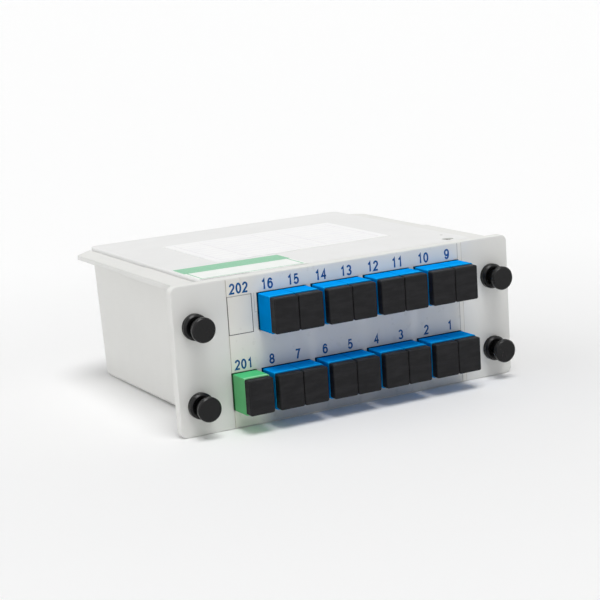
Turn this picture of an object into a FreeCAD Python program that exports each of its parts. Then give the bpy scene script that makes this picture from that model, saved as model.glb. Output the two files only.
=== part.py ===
import FreeCAD, Part
import math
import os
import re
import Sketcher

# Plug-in fibre-optic splitter cassette: a moulded tray with its front plate, a screwed cover,
# eight paired output adapters, one input adapter, dust caps, four push-pull latches and, inside,
# the splitter module with its fibres. Millimetres, +X right along the front plate, +Y to the back,
# +Z up. The origin is the centre of the four-latch pattern on the front plate's rear face.

SIZES = [
    # the front plate
    ("ear_width", 12.6),
    ("panel_margin", 6.2),
    ("panel_thick", 3.0),
    ("panel_corner", 2.4),
    ("panel_edge", 0.4),
    ("latch_out", 5.2),
    ("latch_rise", 26.0),
    ("latch_drop", 1.8),
    # the tray behind it, with its walls leaning in towards the floor
    ("port_margin", 4.775),
    ("back_room", 3.5),
    ("tray_draft", 1.2),
    ("tray_lift", 0.9),
    ("wall_thick", 2.0),
    ("floor_thick", 2.0),
    ("tray_corner", 3.0),
    ("tray_underedge", 2.0),
    # the guide rails along both sides of its rim
    ("rail_reach", 8.9),
    ("rail_thick", 2.0),
    ("rail_front_length", 43.0),
    ("rail_short", 9.0),
    ("rail_relief", 0.4),
    # the cover and its screws
    ("cover_over", 0.4),
    ("cover_thick", 2.0),
    ("cover_step", 1.0),
    ("cover_gap", 0.2),
    ("cover_front_gap", 0.6),
    ("cover_corner", 3.0),
    ("cover_edge", 0.4),
    ("lip_height", 1.6),
    ("lip_thick", 1.2),
    ("lip_front", 12.0),
    ("screw_inset", 6.7),
    ("screw_y", 4.9),
    ("screw_head_radius", 1.7),
    ("screw_head_high", 0.9),
    ("screw_shank_radius", 0.9),
    ("screw_short", 0.4),
    ("screw_clear", 0.1),
    ("recess_radius", 2.0),
    ("recess_deep", 1.2),
    ("boss_radius", 2.3),
    ("boss_clear", 0.2),
    # the ports: two rows, in pairs, with the input port left of the lower row
    ("row_rise", 25.2),
    ("pair_offset", 4.75),
    ("pair_gap", 1.95),
    ("port_web", 1.7),
    ("port_width", 7.4),
    ("port_height", 9.0),
    ("shell_wall", 1.7),
    ("shell_front", 9.0),
    ("shell_length", 27.4),
    ("shell_round", 0.5),
    ("window_clear", 0.1),
    ("collar_over", 1.0),
    ("collar_thick", 1.5),
    ("mid_wall", 3.0),
    ("holder_radius", 2.3),
    ("holder_reach", 4.7),
    ("key_width", 2.2),
    ("key_deep", 0.5),
    # the ceramic sleeve in each port
    ("sleeve_outer", 1.6),
    ("sleeve_wall", 0.35),
    ("sleeve_inset", 0.5),
    ("sleeve_slit", 0.4),
    ("sleeve_clear", 0.05),
    # the dust caps
    ("cap_gap", 0.2),
    ("cap_inset", 0.35),
    ("cap_thick", 3.05),
    ("cap_face", 1.2),
    ("cap_corner", 0.6),
    ("cap_edge", 0.3),
    ("skirt_deep", 5.5),
    ("skirt_wall", 0.9),
    ("skirt_clear", 0.1),
    # the push-pull latches
    ("flange_radius", 4.35),
    ("flange_thick", 2.2),
    ("flange_edge", 0.6),
    ("dish_radius", 3.2),
    ("dish_deep", 0.7),
    ("shoulder_step", 0.4),
    ("shoulder_clear", 0.1),
    ("barrel_radius", 2.9),
    ("barrel_length", 10.0),
    ("tip_radius", 2.3),
    ("tip_length", 1.5),
    ("slit_width", 1.0),
    ("slit_length", 3.5),
    ("head_radius", 4.1),
    ("head_thick", 1.6),
    ("head_edge", 0.4),
    ("head_out", 7.8),
    ("neck_radius", 2.1),
    ("neck_end", 1.0),
    ("neck_clear", 0.08),
    ("pin_radius", 1.2),
    ("pin_clear", 0.2),
    ("pin_end", 10.0),
    # the labels
    ("label_inset", 0.025),
    ("face_label_thick", 0.25),
    ("blank_over", 0.25),
    ("blank_line", 0.3),
    ("blank_deep", 0.12),
    ("lid_label_thick", 0.15),
    ("table_width", 69.0),
    ("table_deep", 45.0),
    ("table_x", 0.8),
    ("table_y", 49.5),
    ("seal_width", 39.2),
    ("seal_deep", 22.6),
    ("seal_x", -32.3),
    ("seal_y", 12.5),
    ("seal_turn", 1.2),
    # the inner plugs
    ("plug_side", 0.2),
    ("plug_gap", 0.2),
    ("plug_length", 20.6),
    ("bore_gap", 0.4),
    ("grip_over", 0.9),
    ("grip_gap", 0.6),
    ("ferrule_clear", 0.02),
    ("boot_radius", 2.6),
    ("boot_step", 7.0),
    ("boot_tip", 1.5),
    ("boot_length", 16.0),
    # the splitter module and its fibres
    ("module_over", 2.0),
    ("module_width", 7.0),
    ("module_high", 4.0),
    ("module_gap", 1.8),
    ("cradle_thick", 1.4),
    ("cradle_length", 8.0),
    ("cradle_gap", 0.2),
    ("fibre_radius", 0.45),
    ("fibre_bend", 8.0),
    ("fibre_spread", 1.2),
    ("coil_run", 9.3),
    ("coil_side", 4.5),
    ("coil_radius", 14.2),
    ("coil_band", 5.0),
    ("coil_over", 2.5),
    ("hub_gap", 0.3),
    ("hub_wall", 1.5),
    ("hub_over", 2.0),
]

# What follows from them: each piece is as large as what it holds or sits in, with a clearance.
FITS = [
    # the ports and what goes into them
    ("port_pitch", "port_width + port_web"),
    ("shell_height", "port_height + 2 * shell_wall"),
    ("pair_pitch", "2 * port_pitch + pair_gap"),
    ("input_offset", "1.5 * port_pitch + pair_gap"),
    ("port_reach", "1.5 * pair_pitch - pair_offset + input_offset + port_pitch / 2"),
    ("cap_width", "port_pitch - cap_gap"),
    ("cap_height", "shell_height - 2 * cap_inset"),
    ("plug_width", "port_width - 2 * plug_side"),
    ("plug_height", "port_height - 2 * plug_side"),
    ("plug_bore", "2 * holder_radius + bore_gap"),
    ("sleeve_length", "mid_wall + 2 * holder_reach - 2 * sleeve_inset"),
    ("sleeve_bore", "sleeve_outer - sleeve_wall"),
    ("ferrule_radius", "sleeve_bore - ferrule_clear"),
    # the tray's width round the ports, and what stands out from its sides
    ("tray_top_width", "2 * (port_reach + port_margin + wall_thick)"),
    ("panel_width", "tray_top_width + 2 * ear_width"),
    ("latch_span", "tray_top_width + 2 * latch_out"),
    ("rail_width", "tray_top_width + 2 * rail_reach"),
    ("cover_width", "tray_top_width + 2 * cover_over"),
    ("screw_x", "tray_top_width / 2 - screw_inset"),
    # the front plate's height over the rows, and what reaches down from the cover to them
    ("panel_height", "row_rise + shell_height + 2 * panel_margin"),
    ("boss_high", "panel_margin - cover_thick - boss_clear"),
    ("screw_length", "boss_high + cover_thick - recess_deep - screw_short"),
    # the fibres behind the plugs' boots, the module behind them and the tray's depth
    ("plug_start", "shell_length / 2 - panel_thick - shell_front + mid_wall / 2 + plug_gap"),
    ("boot_end", "plug_start + plug_length + boot_length"),
    ("coil_y", "boot_end + coil_run + coil_radius + coil_band / 2"),
    ("coil_span", "tray_top_width / 2 - wall_thick - tray_draft - coil_side - coil_radius - coil_band / 2"),
    ("coil_high", "(panel_height - row_rise) / 2 - tray_lift - floor_thick + coil_over"),
    ("hub_high", "coil_high + hub_over"),
    ("module_length", "2 * (coil_span + module_over)"),
    ("module_y", "coil_y + coil_radius + coil_band / 2 + module_gap + module_width / 2"),
    ("tray_depth", "module_y + module_width / 2 + back_room + wall_thick"),
    ("rail_full_length", "tray_depth - rail_short"),
    # the latches and the labels
    ("shoulder_radius", "barrel_radius + shoulder_step"),
    ("pin_bore", "pin_radius + pin_clear"),
    ("face_label_width", "2 * (port_reach - label_inset)"),
    ("blank_height", "shell_height + 2 * blank_over"),
]

DOC = FreeCAD.newDocument("SplitterCassette")
NAMES = [name for name, value in SIZES + FITS]
VECTOR = FreeCAD.Vector

# Heights and places that several pieces share, as formulas on the sheet.
TOP = "(panel_height / 2 + latch_drop)"
BOTTOM = "(latch_drop - panel_height / 2)"
RIM = f"({TOP} - cover_thick)"
RAIL_TOP = f"({TOP} - cover_step)"
UNDERSIDE = f"({BOTTOM} + tray_lift)"
FLOOR = f"({UNDERSIDE} + floor_thick)"
FRONT = "(-panel_thick)"
SHELL_MOUTH = "(-panel_thick - shell_front)"
SHELL_MIDDLE = f"({SHELL_MOUTH} + shell_length / 2)"
ROWS = {"lower": "(latch_drop - row_rise / 2)", "upper": "(latch_drop + row_rise / 2)"}
PAIRS = [f"(pair_offset + ({step}) * pair_pitch)" for step in (-1.5, -0.5, 0.5, 1.5)]
INPUT_X = f"({PAIRS[0]} - input_offset)"
PAIR_WIDTH = "(2 * port_pitch)"
PORT_SIDES = ("(-port_pitch / 2)", "(port_pitch / 2)")
SIDES = {"left": "-1", "right": "1"}
LEVELS = {"lower": "-1", "upper": "1"}


def make_sheet():
    """The driving dimensions and what follows from them, one named cell each."""
    sheet = DOC.addObject("Spreadsheet::Sheet", "Sizes")
    for row, (name, value) in enumerate(SIZES + FITS, start=1):
        sheet.set(f"A{row}", name)
        sheet.set(f"B{row}", f"={value}")
        sheet.setAlias(f"B{row}", name)
    DOC.recompute()
    return sheet


SHEET = make_sheet()


def size(name):
    """A cell's number, for the few shapes that are worked out here."""
    return float(SHEET.get(name))


def bind(thing, path, formula):
    """Ties one property to a formula whose words are names on the sheet."""
    names = re.sub(r"[a-z_]+", lambda word: "Sizes." * (word.group() in NAMES) + word.group(), formula)
    thing.setExpression(path, names)


def new_body(label, x="0", y="0", z="0"):
    """An empty body, placed by formulas."""
    piece = DOC.addObject("PartDesign::Body", label)
    for axis, formula in zip("xyz", (x, y, z)):
        bind(piece, "Placement.Base." + axis, formula)
    return piece


def new_sketch(piece, plane, start="0"):
    """A sketch on one of the body's own planes, moved along its axis to start."""
    sketch = piece.newObject("Sketcher::SketchObject", piece.Label + "_sketch")
    origin = next(item for item in piece.Origin.OriginFeatures if item.Role == plane)
    sketch.AttachmentSupport = (origin, [""])
    sketch.MapMode = "FlatFace"
    sign = "-" if plane == "XZ_Plane" else ""
    bind(sketch, "AttachmentOffset.Base.z", f"{sign}({start})")
    return sketch


def set_point(sketch, line, end, x, y):
    """Dimensions one point of a sketch from its origin."""
    for kind, formula in (("DistanceX", x), ("DistanceY", y)):
        number = sketch.addConstraint(Sketcher.Constraint(kind, -1, 1, line, end, 1.0))
        bind(sketch, f"Constraints[{number}]", formula)


def polygon(sketch, points):
    """A closed outline through points, each a pair of formulas."""
    count = len(points)
    corners = [VECTOR(math.cos(i * math.tau / count), math.sin(i * math.tau / count)) for i in range(count)]
    lines = [sketch.addGeometry(Part.LineSegment(corners[i - 1], corners[i])) for i in range(count)]
    for i in range(count):
        sketch.addConstraint(Sketcher.Constraint("Coincident", lines[i - 1], 2, lines[i], 1))
        set_point(sketch, lines[i], 2, *points[i])


def rectangle(sketch, x, y, width, height):
    """A rectangle about the point x, y."""
    left, right = f"{x} - ({width}) / 2", f"{x} + ({width}) / 2"
    low, high = f"{y} - ({height}) / 2", f"{y} + ({height}) / 2"
    polygon(sketch, [(left, low), (right, low), (right, high), (left, high)])


def circle(sketch, x, y, radius):
    """A circle about the point x, y."""
    ring = sketch.addGeometry(Part.Circle(VECTOR(1, 1), VECTOR(0, 0, 1), 1.0))
    set_point(sketch, ring, 3, x, y)
    number = sketch.addConstraint(Sketcher.Constraint("Radius", ring, 1.0))
    bind(sketch, f"Constraints[{number}]", radius)


def extrude(piece, kind, plane, start, length, draw):
    """Adds (Pad) or cuts (Pocket) a prism from start along the positive axis."""
    before = piece.Shape.Volume if kind == "Pocket" else 0.0
    sketch = new_sketch(piece, plane, start)
    draw(sketch)
    feature = piece.newObject("PartDesign::" + kind, piece.Label + "_" + kind)
    feature.Profile = sketch
    bind(feature, "Length", length)
    feature.Reversed = (kind == "Pad") == (plane == "XZ_Plane")
    DOC.recompute()
    if kind == "Pocket" and feature.Shape.Volume > before - 1e-6:
        raise RuntimeError(f"{feature.Label} cuts nothing")
    return feature


def pad(piece, plane, start, length, draw):
    return extrude(piece, "Pad", plane, start, length, draw)


def pocket(piece, plane, start, length, draw):
    return extrude(piece, "Pocket", plane, start, length, draw)


def lean_walls(piece, inside, angle):
    """Gives draft to the side and back walls, turned about the edge of the open top."""
    base = piece.Tip
    faces = list(enumerate(base.Shape.Faces, start=1))
    top, rim = max(faces, key=lambda item: item[1].CenterOfMass.z)
    walls = []
    for number, face in faces:
        across = face.normalAt(0, 0)
        outward = across.dot(face.CenterOfMass - rim.BoundBox.Center) > 0
        leans = abs(across.x) + across.y * (-1 if inside else 1) > 0.5
        if abs(across.z) < 0.5 and leans and outward != inside:
            walls.append(f"Face{number}")
    feature = piece.newObject("PartDesign::Draft", piece.Label + "_draft")
    feature.Base = (base, walls)
    feature.NeutralPlane = (base, [f"Face{top}"])
    bind(feature, "Angle", angle)
    feature.Reversed = not inside
    DOC.recompute()


def revolve(piece, kind, points):
    """Turns an outline of (radius, y) points about the Y axis."""
    sketch = new_sketch(piece, "XY_Plane")
    polygon(sketch, points)
    feature = piece.newObject("PartDesign::" + kind, piece.Label + "_turned")
    feature.Profile = sketch
    feature.ReferenceAxis = (sketch, ["V_Axis"])
    feature.Angle = 360
    DOC.recompute()


def dress_edges(piece, kind, size_name, chosen, formula):
    """Fillets or chamfers every edge of the body that chosen accepts."""
    base = piece.Tip
    edges = [f"Edge{i}" for i, edge in enumerate(base.Shape.Edges, start=1) if chosen(edge)]
    if not edges:
        raise RuntimeError(f"{piece.Label} has no such edge")
    feature = piece.newObject("PartDesign::" + kind, f"{piece.Label}_{kind}")
    feature.Base = (base, edges)
    bind(feature, size_name, formula)
    DOC.recompute()


def round_edges(piece, chosen, radius):
    dress_edges(piece, "Fillet", "Radius", chosen, radius)


def bevel_edges(piece, chosen, width):
    dress_edges(piece, "Chamfer", "Size", chosen, width)


def along(axis):
    """A test for straight edges along one axis."""
    others = [name for name in "XYZ" if name != axis]

    def test(edge):
        box = edge.BoundBox
        return all(getattr(box, name + "Length") < 1e-3 for name in others)

    return test


def at(axis, level):
    """A test for edges that lie in the plane across one axis at a level."""

    def test(edge):
        box = edge.BoundBox
        low, high = getattr(box, axis + "Min"), getattr(box, axis + "Max")
        return abs(low - level) < 1e-3 and abs(high - level) < 1e-3

    return test


def draw_windows(sketch, clear):
    """The outline of every adapter that passes through the front plate."""
    high = f"shell_height + 2 * ({clear})"
    for row in ROWS.values():
        for x in PAIRS:
            rectangle(sketch, x, row, f"{PAIR_WIDTH} + 2 * ({clear})", high)
    rectangle(sketch, INPUT_X, ROWS["lower"], f"port_pitch + 2 * ({clear})", high)


def draw_latches(sketch, radius):
    """The four latch centres, a circle at each."""
    for side in SIDES.values():
        for level in LEVELS.values():
            circle(sketch, f"{side} * latch_span / 2", f"{level} * latch_rise / 2", radius)


def tray_plan(inset, front):
    """The tray's plan at its rim, less a wall at the sides and the back."""
    half = f"(tray_top_width / 2 - {inset})"
    back = f"tray_depth - {inset}"
    return [(f"-{half}", front), (half, front), (half, back), (f"-{half}", back)]


def make_tray():
    """The moulded tray with its front plate, guide rails, screw bosses and fibre hubs."""
    tray = new_body("housing_tray")
    lean = f"atan(tray_draft / ({RIM} - {UNDERSIDE}))"
    pad(tray, "XY_Plane", UNDERSIDE, f"{RIM} - {UNDERSIDE}",
        lambda sketch: polygon(sketch, tray_plan("0", "-panel_thick / 2")))
    lean_walls(tray, False, lean)
    pocket(tray, "XY_Plane", FLOOR, f"{RIM} - {FLOOR}",
           lambda sketch: polygon(sketch, tray_plan("wall_thick", "-panel_thick")))
    lean_walls(tray, True, lean)
    back, tall = size("tray_depth") - size("tray_draft") - 1, size("panel_height") / 2
    round_edges(tray, lambda edge: edge.BoundBox.YMin > back and edge.BoundBox.ZLength > tall, "tray_corner")
    under = size("latch_drop") - size("panel_height") / 2 + size("tray_lift")
    round_edges(tray, lambda edge: at("Z", under)(edge) and edge.BoundBox.YMax > 0, "tray_underedge")
    pad(tray, "XZ_Plane", FRONT, "panel_thick", draw_panel)
    for side in SIDES.values():
        add_rail(tray, side)
    pocket(tray, "XY_Plane", RIM, "2 * cover_thick", draw_rebate)
    add_bosses(tray)
    add_floor_fittings(tray)
    pocket(tray, "XZ_Plane", FRONT, "panel_thick", lambda sketch: draw_windows(sketch, "window_clear"))
    pocket(tray, "XZ_Plane", FRONT, "panel_thick",
           lambda sketch: draw_latches(sketch, "shoulder_radius + shoulder_clear"))
    half = size("panel_width") / 2
    round_edges(tray, lambda edge: along("Y")(edge) and abs(abs(edge.BoundBox.Center.x) - half) < 1e-3,
                "panel_corner")
    round_edges(tray, panel_outline, "panel_edge")
    return tray


def panel_outline(edge):
    """A test for the edges round the front plate's face, those of its openings left out."""
    box = edge.BoundBox
    middle, wide, high = size("latch_drop"), size("panel_width") / 2, size("panel_height") / 2
    reach = max(box.XMax - wide, -wide - box.XMin, box.ZMax - middle - high, middle - high - box.ZMin)
    return at("Y", -size("panel_thick"))(edge) and reach > -1e-3


def draw_panel(sketch):
    rectangle(sketch, "0", "latch_drop", "panel_width", "panel_height")


def draw_rebate(sketch):
    """The seat that the cover drops into, open at the back."""
    half = "(cover_width / 2 + cover_gap)"
    back = "2 * tray_depth"
    polygon(sketch, [(f"-{half}", "0"), (half, "0"), (half, back), (f"-{half}", back)])


def add_rail(tray, side):
    """One guide rail: full section in front, relieved behind, and cut off at a slant."""
    inner = f"{side} * (tray_top_width / 2 - wall_thick / 2)"
    outer = f"{side} * rail_width / 2"
    slim = f"{side} * (rail_width / 2 - rail_relief)"
    corner = f"{side} * (tray_top_width / 2)"
    slant_end = "(rail_full_length + (rail_width - tray_top_width) / 2 - rail_relief)"
    pad(tray, "XY_Plane", f"{RAIL_TOP} - rail_thick", "rail_thick", lambda sketch: polygon(
        sketch, [(inner, "0"), (outer, "0"), (outer, "rail_front_length"), (inner, "rail_front_length")]))
    pad(tray, "XY_Plane", f"{RAIL_TOP} - rail_thick + rail_relief / 2", "rail_thick - rail_relief",
        lambda sketch: polygon(sketch, [
            (inner, "rail_front_length"), (slim, "rail_front_length"), (slim, "rail_full_length"),
            (corner, slant_end), (inner, slant_end)]))


def add_bosses(tray):
    """Two pillars on the side walls for the cover's screws, with a web to each wall."""
    start = f"{RIM} - boss_high"
    for side in SIDES.values():
        x = f"{side} * screw_x"
        reach = "(tray_top_width / 2 - wall_thick - screw_x + wall_thick / 2)"
        pad(tray, "XY_Plane", start, "boss_high", lambda sketch: circle(sketch, x, "screw_y", "boss_radius"))
        pad(tray, "XY_Plane", start, "boss_high", lambda sketch: rectangle(
            sketch, f"{x} + {side} * {reach} / 2", "screw_y", reach, "wall_thick"))
        pocket(tray, "XY_Plane", start, "boss_high",
               lambda sketch: circle(sketch, x, "screw_y", "screw_shank_radius + screw_clear"))


def add_floor_fittings(tray):
    """Two hubs that the slack fibre is wound round, and two cradles for the splitter module."""
    hub = "(coil_radius - coil_band / 2 - hub_gap)"
    for side in SIDES.values():
        x = f"{side} * coil_span"
        pad(tray, "XY_Plane", FLOOR, "hub_high", lambda sketch: (
            circle(sketch, x, "coil_y", hub), circle(sketch, x, "coil_y", f"{hub} - hub_wall")))
        cradle_x = f"{side} * (module_length / 2 - cradle_length)"
        offset = "(module_width / 2 + cradle_gap + cradle_thick / 2)"
        pad(tray, "XY_Plane", FLOOR, "module_high", lambda sketch: (
            rectangle(sketch, cradle_x, f"module_y - {offset}", "cradle_length", "cradle_thick"),
            rectangle(sketch, cradle_x, f"module_y + {offset}", "cradle_length", "cradle_thick")))


def make_cover():
    """The flat cover, with a locating lip underneath and a recess for each screw."""
    cover = new_body("top_cover", z=RIM)
    half = "(cover_width / 2)"
    pad(cover, "XY_Plane", "0", "cover_thick", lambda sketch: polygon(sketch, [
        (f"-{half}", "cover_front_gap"), (half, "cover_front_gap"),
        (half, "tray_depth"), (f"-{half}", "tray_depth")]))
    back = size("tray_depth") - 1
    round_edges(cover, lambda edge: along("Z")(edge) and edge.BoundBox.YMin > back, "cover_corner")
    round_edges(cover, at("Z", size("cover_thick")), "cover_edge")
    pad(cover, "XY_Plane", "-lip_height", "lip_height", draw_lip)
    for side in SIDES.values():
        x = f"{side} * screw_x"
        pocket(cover, "XY_Plane", "cover_thick - recess_deep", "recess_deep",
               lambda sketch: circle(sketch, x, "screw_y", "recess_radius"))
        pocket(cover, "XY_Plane", "0", "cover_thick",
               lambda sketch: circle(sketch, x, "screw_y", "screw_shank_radius + 2 * screw_clear"))
    return cover


def draw_lip(sketch):
    """A U of wall that drops inside the tray's side and back walls."""
    outer = "(tray_top_width / 2 - wall_thick - tray_draft / 10 - cover_gap)"
    back = "(tray_depth - wall_thick - tray_draft / 10 - cover_gap)"
    inner, inner_back = f"({outer} - lip_thick)", f"({back} - lip_thick)"
    polygon(sketch, [
        (f"-{outer}", "lip_front"), (f"-{inner}", "lip_front"), (f"-{inner}", inner_back),
        (inner, inner_back), (inner, "lip_front"), (outer, "lip_front"), (outer, back), (f"-{outer}", back)])


def primitive(kind, label, **formulas):
    """A Part primitive whose properties are tied to formulas; x, y, z place it."""
    thing = DOC.addObject("Part::" + kind, label)
    for name, formula in formulas.items():
        bind(thing, "Placement.Base." + name if name in "xyz" else name, formula)
    return thing


def group(label, members):
    """Like pieces that share one node, each a separate solid."""
    bundle = DOC.addObject("Part::Compound", label)
    bundle.Links = members
    return bundle


def make_screws():
    """The cover's screws, each a round head on a plain shank with a cross recess."""
    screws = []
    seat = f"{TOP} - recess_deep"
    for name, side in SIDES.items():
        x = f"{side} * screw_x"
        head = primitive("Cylinder", name + "_head", Radius="screw_head_radius", Height="screw_head_high",
                         x=x, y="screw_y", z=seat)
        shank = primitive("Cylinder", name + "_shank", Radius="screw_shank_radius", Height="screw_length",
                          x=x, y="screw_y", z=f"{seat} - screw_length")
        screw = DOC.addObject("Part::Fuse", name + "_screw")
        screw.Base = head
        screw.Tool = shank
        screws.append(screw)
    return group("cover_screws", screws)


def make_face_label():
    """The printed overlay on the front plate, cut out round the adapters."""
    label = new_body("face_label")
    high = "panel_height - 2 * panel_edge"
    pad(label, "XZ_Plane", f"{FRONT} - face_label_thick", "face_label_thick",
        lambda sketch: rectangle(sketch, "0", "latch_drop", "face_label_width", high))
    pocket(label, "XZ_Plane", f"{FRONT} - face_label_thick", "face_label_thick",
           lambda sketch: draw_windows(sketch, "2 * window_clear"))
    inner = "port_pitch - 2 * blank_line", "blank_height - 2 * blank_line"
    pocket(label, "XZ_Plane", f"{FRONT} - face_label_thick", "blank_deep", lambda sketch: (
        rectangle(sketch, INPUT_X, ROWS["upper"], "port_pitch", "blank_height"),
        rectangle(sketch, INPUT_X, ROWS["upper"], *inner)))
    return label


def make_lid_label(name, x, y, width, deep, turn="0"):
    """One of the flat stickers on the cover, turned a little clockwise."""
    label = new_body(name, x, y, TOP)
    bind(label, "Placement.Rotation.Angle", f"-({turn})")
    pad(label, "XY_Plane", "0", "lid_label_thick", lambda sketch: rectangle(sketch, "0", "0", width, deep))
    return label


def make_adapter(label, x, row, ports):
    """A through adapter's shell: a port at each end of every channel, with a slot for the plug's key."""
    adapter = new_body(label, x, SHELL_MIDDLE, row)
    width = f"{len(ports)} * port_pitch"
    pad(adapter, "XZ_Plane", "-shell_length / 2", "shell_length",
        lambda sketch: rectangle(sketch, "0", "0", width, "shell_height"))
    round_edges(adapter, along("Y"), "shell_round")
    pad(adapter, "XZ_Plane", f"-({SHELL_MIDDLE})", "collar_thick", lambda sketch: rectangle(
        sketch, "0", "0", f"{width} - 2 * shell_round", "shell_height + 2 * collar_over"))
    pocket(adapter, "XZ_Plane", "-shell_length / 2", "shell_length",
           lambda sketch: [keyed_port(sketch, port) for port in ports])
    return adapter


def keyed_port(sketch, x):
    """A port's outline about x, with the key's slot in its right wall."""
    left, right, slot = f"{x} - port_width / 2", f"{x} + port_width / 2", f"{x} + port_width / 2 + key_deep"
    top, key = "(port_height / 2)", "(key_width / 2)"
    polygon(sketch, [(left, f"-{top}"), (right, f"-{top}"), (right, f"-{key}"), (slot, f"-{key}"),
                     (slot, key), (right, key), (right, top), (left, top)])


def make_holders(ports):
    """What holds each port's sleeve: a flange in the middle of the shell, with a tube to either side."""
    holders = []
    for number, (x, row) in enumerate(ports):
        holder = new_body(f"holder_{number}", x, SHELL_MIDDLE, row)
        pad(holder, "XZ_Plane", "-mid_wall / 2", "mid_wall",
            lambda sketch: rectangle(sketch, "0", "0", "port_width", "port_height"))
        pad(holder, "XZ_Plane", "-mid_wall / 2 - holder_reach", "mid_wall + 2 * holder_reach",
            lambda sketch: circle(sketch, "0", "0", "holder_radius"))
        pocket(holder, "XZ_Plane", "-mid_wall / 2 - holder_reach", "mid_wall + 2 * holder_reach",
               lambda sketch: circle(sketch, "0", "0", "sleeve_outer + sleeve_clear"))
        holders.append(holder)
    return group("sleeve_holders", holders)


def make_sleeves(ports):
    """The split ceramic sleeves, one in each port's holder."""
    sleeves = []
    for number, (x, row) in enumerate(ports):
        name = f"sleeve_{number}"
        place = dict(x=x, y=f"{SHELL_MIDDLE} + sleeve_length / 2", z=row, Height="sleeve_length")
        outer = primitive("Cylinder", name + "_outer", Radius="sleeve_outer", **place)
        bore = primitive("Cylinder", name + "_bore", Radius="sleeve_bore", **place)
        slit = primitive("Box", name + "_slit", Length="sleeve_slit", Width="sleeve_length",
                         Height="2 * sleeve_outer", x=f"{x} - sleeve_slit / 2",
                         y=f"{SHELL_MIDDLE} - sleeve_length / 2", z=row)
        for rod in (outer, bore):
            rod.Placement.Rotation = FreeCAD.Rotation(VECTOR(1, 0, 0), 90)
        tube = DOC.addObject("Part::Cut", name + "_tube")
        tube.Base, tube.Tool = outer, bore
        sleeve = DOC.addObject("Part::Cut", name)
        sleeve.Base, sleeve.Tool = tube, slit
        sleeves.append(sleeve)
    return group("alignment_sleeves", sleeves)


def make_cap(label, x, row):
    """A dust cap: a thick face with rounded corners on a hollow skirt that plugs the port."""
    cap = new_body(label, x, SHELL_MOUTH, row)
    pad(cap, "XZ_Plane", "-cap_thick", "cap_thick",
        lambda sketch: rectangle(sketch, "0", "0", "cap_width", "cap_height"))
    round_edges(cap, along("Y"), "cap_corner")
    bevel_edges(cap, at("Y", -size("cap_thick")), "cap_edge")
    wide, high = "(port_width - 2 * skirt_clear)", "(port_height - 2 * skirt_clear)"
    pad(cap, "XZ_Plane", "0", "skirt_deep", lambda sketch: rectangle(sketch, "0", "0", wide, high))
    pocket(cap, "XZ_Plane", "cap_face - cap_thick", "cap_thick - cap_face + skirt_deep",
           lambda sketch: rectangle(sketch, "0", "0", f"{wide} - 2 * skirt_wall", f"{high} - 2 * skirt_wall"))
    return cap


def make_grommet(label, x, z):
    """The fixed half of a latch: a dished flange, a shoulder in the plate and a split barrel behind."""
    grommet = new_body(label, x, FRONT, z)
    neck = "(neck_radius + neck_clear)"
    deep = "(head_out - head_thick - flange_thick + neck_end + neck_clear)"
    revolve(grommet, "Revolution", [
        (neck, "dish_deep - flange_thick"), ("dish_radius - dish_deep", "dish_deep - flange_thick"),
        ("dish_radius", "-flange_thick"), ("flange_radius - flange_edge", "-flange_thick"),
        ("flange_radius", "flange_edge - flange_thick"), ("flange_radius", "0"),
        ("shoulder_radius", "0"), ("shoulder_radius", "panel_thick"), ("barrel_radius", "panel_thick"),
        ("barrel_radius", "barrel_length - tip_length"),
        ("tip_radius", "barrel_length"), ("pin_bore", "barrel_length"),
        ("pin_bore", f"{deep} + {neck} - pin_bore"), (neck, deep)])
    pocket(grommet, "XZ_Plane", "barrel_length - slit_length", "slit_length",
           lambda sketch: rectangle(sketch, "0", "0", "2 * flange_radius", "slit_width"))
    return grommet


def make_plunger(label, x, z):
    """The moving half of a latch, drawn out: a knob on a neck, with the pin that spreads the barrel."""
    plunger = new_body(label, x, FRONT, z)
    revolve(plunger, "Revolution", [
        ("0", "-head_out"), ("head_radius - head_edge", "-head_out"),
        ("head_radius", "head_edge - head_out"),
        ("head_radius", "head_thick - head_out"), ("neck_radius", "head_thick - head_out"),
        ("neck_radius", "neck_end"), ("pin_radius", "neck_end + neck_radius - pin_radius"),
        ("pin_radius", "pin_end"), ("0", "pin_end")])
    return plunger


def make_plugs(label, x, row, ports):
    """The plugs on the fibre ends, pushed into the back of one adapter."""
    solids = []
    seat = f"{SHELL_MIDDLE} + mid_wall / 2 + plug_gap"
    for number, port in enumerate(ports):
        plug = new_body(f"{label}_{number}", f"{x} + {port}", seat, row)
        add_plug_housing(plug)
        solids.append(plug)
    return group(label, solids)


def add_plug_housing(plug):
    """Housing, grip, ferrule and stepped boot of one plug."""
    grip = "((shell_length - mid_wall) / 2 - plug_gap + grip_gap)"
    pad(plug, "XZ_Plane", "0", "plug_length",
        lambda sketch: rectangle(sketch, "0", "0", "plug_width", "plug_height"))
    pad(plug, "XZ_Plane", grip, f"plug_length - {grip}",
        lambda sketch: rectangle(sketch, "0", "0", "plug_width + grip_over", "plug_height + 2 * grip_over"))
    pocket(plug, "XZ_Plane", "0", "holder_reach + plug_gap",
           lambda sketch: rectangle(sketch, "0", "0", "plug_bore", "plug_bore"))
    pad(plug, "XZ_Plane", "-plug_gap - mid_wall / 2", "2 * plug_gap + mid_wall / 2 + holder_reach",
        lambda sketch: circle(sketch, "0", "0", "ferrule_radius"))
    pad(plug, "XZ_Plane", "plug_length", "boot_step", lambda sketch: octagon(sketch, "boot_radius"))
    pad(plug, "XZ_Plane", "plug_length", "boot_length", lambda sketch: octagon(sketch, "boot_tip"))


def octagon(sketch, radius):
    """An eight-sided outline about the origin."""
    polygon(sketch, [(f"{radius} * cos({turn} deg)", f"{radius} * sin({turn} deg)")
                     for turn in range(0, 360, 45)])


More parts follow.
